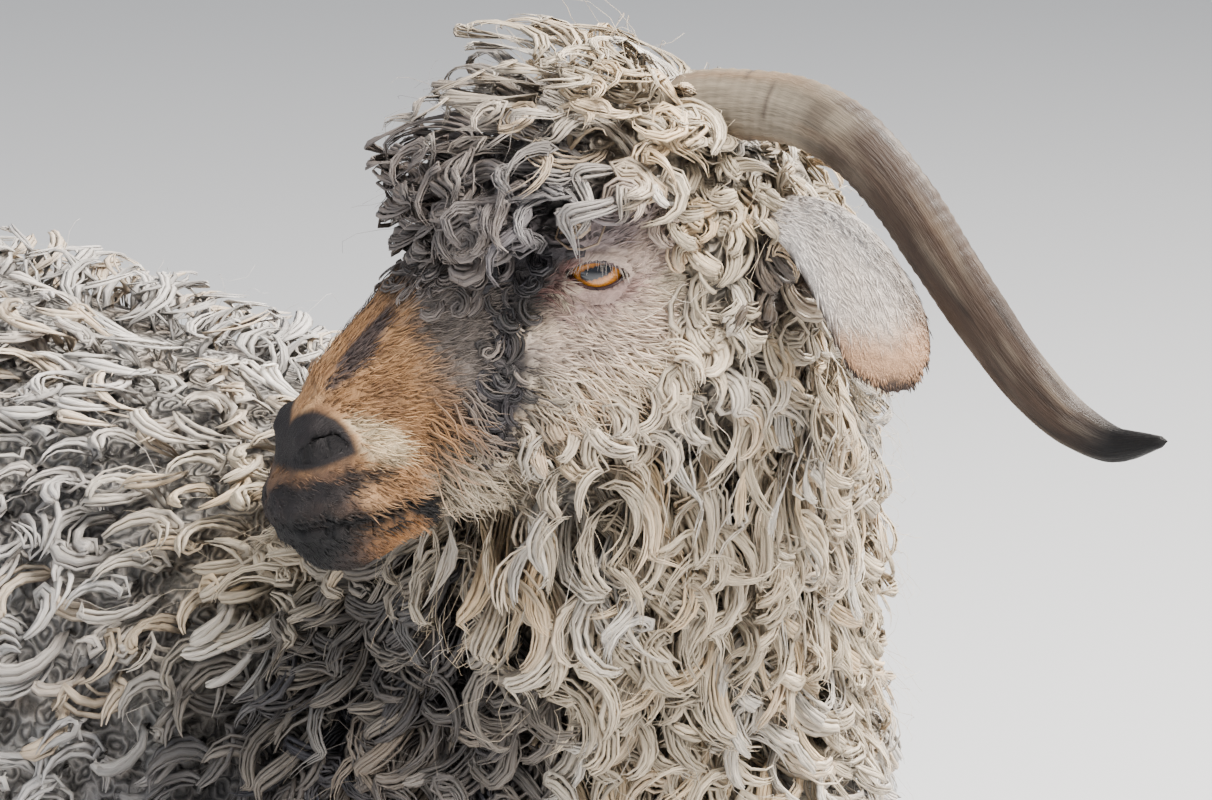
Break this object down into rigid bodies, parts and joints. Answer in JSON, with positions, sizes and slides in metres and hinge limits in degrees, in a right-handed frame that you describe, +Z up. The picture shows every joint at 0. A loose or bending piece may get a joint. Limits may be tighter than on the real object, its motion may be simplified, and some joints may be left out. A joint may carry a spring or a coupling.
{
  "type": "angora goat, life-size museum model",
  "caption": "Still life-size angora goat standing square with its horned head turned back over its side, with curly fleece.",
  "frame": {"origin": "centre of the bounding box on the floor", "axes": "+X towards the front of the trunk, +Y to the goat's left, +Z up"},
  "size_m": [1.0582, 0.4352, 0.8185],
  "materials": {
    "fleece": "curly mohair, grey-white with charcoal at the throat",
    "face_hair": "short tan, grey and cream face hair, dark at nose and lips",
    "ear_hair": "short pale ear hair over pink skin",
    "horn_sheath": "ridged grey-brown horn, dark at the tip",
    "hoof_horn": "dark hoof horn",
    "eye_amber": "wet amber iris with a level slit pupil"
  },
  "bodies": {
    "root": {"ear_left": "ear_hair", "ear_right": "ear_hair", "eye_left": "eye_amber", "eye_right": "eye_amber", "head": "face_hair", "hoof_front_left_inner": "hoof_horn", "hoof_front_left_outer": "hoof_horn", "hoof_front_right_inner": "hoof_horn", "hoof_front_right_outer": "hoof_horn", "hoof_hind_left_inner": "hoof_horn", "hoof_hind_left_outer": "hoof_horn", "hoof_hind_right_inner": "hoof_horn", "hoof_hind_right_outer": "hoof_horn", "horn_left": "horn_sheath", "horn_right": "horn_sheath", "leg_front_left": "fleece", "leg_front_right": "fleece", "leg_hind_left": "fleece", "leg_hind_right": "fleece", "neck": "fleece", "tail": "fleece", "torso": "fleece"}
  },
  "joints": []
}
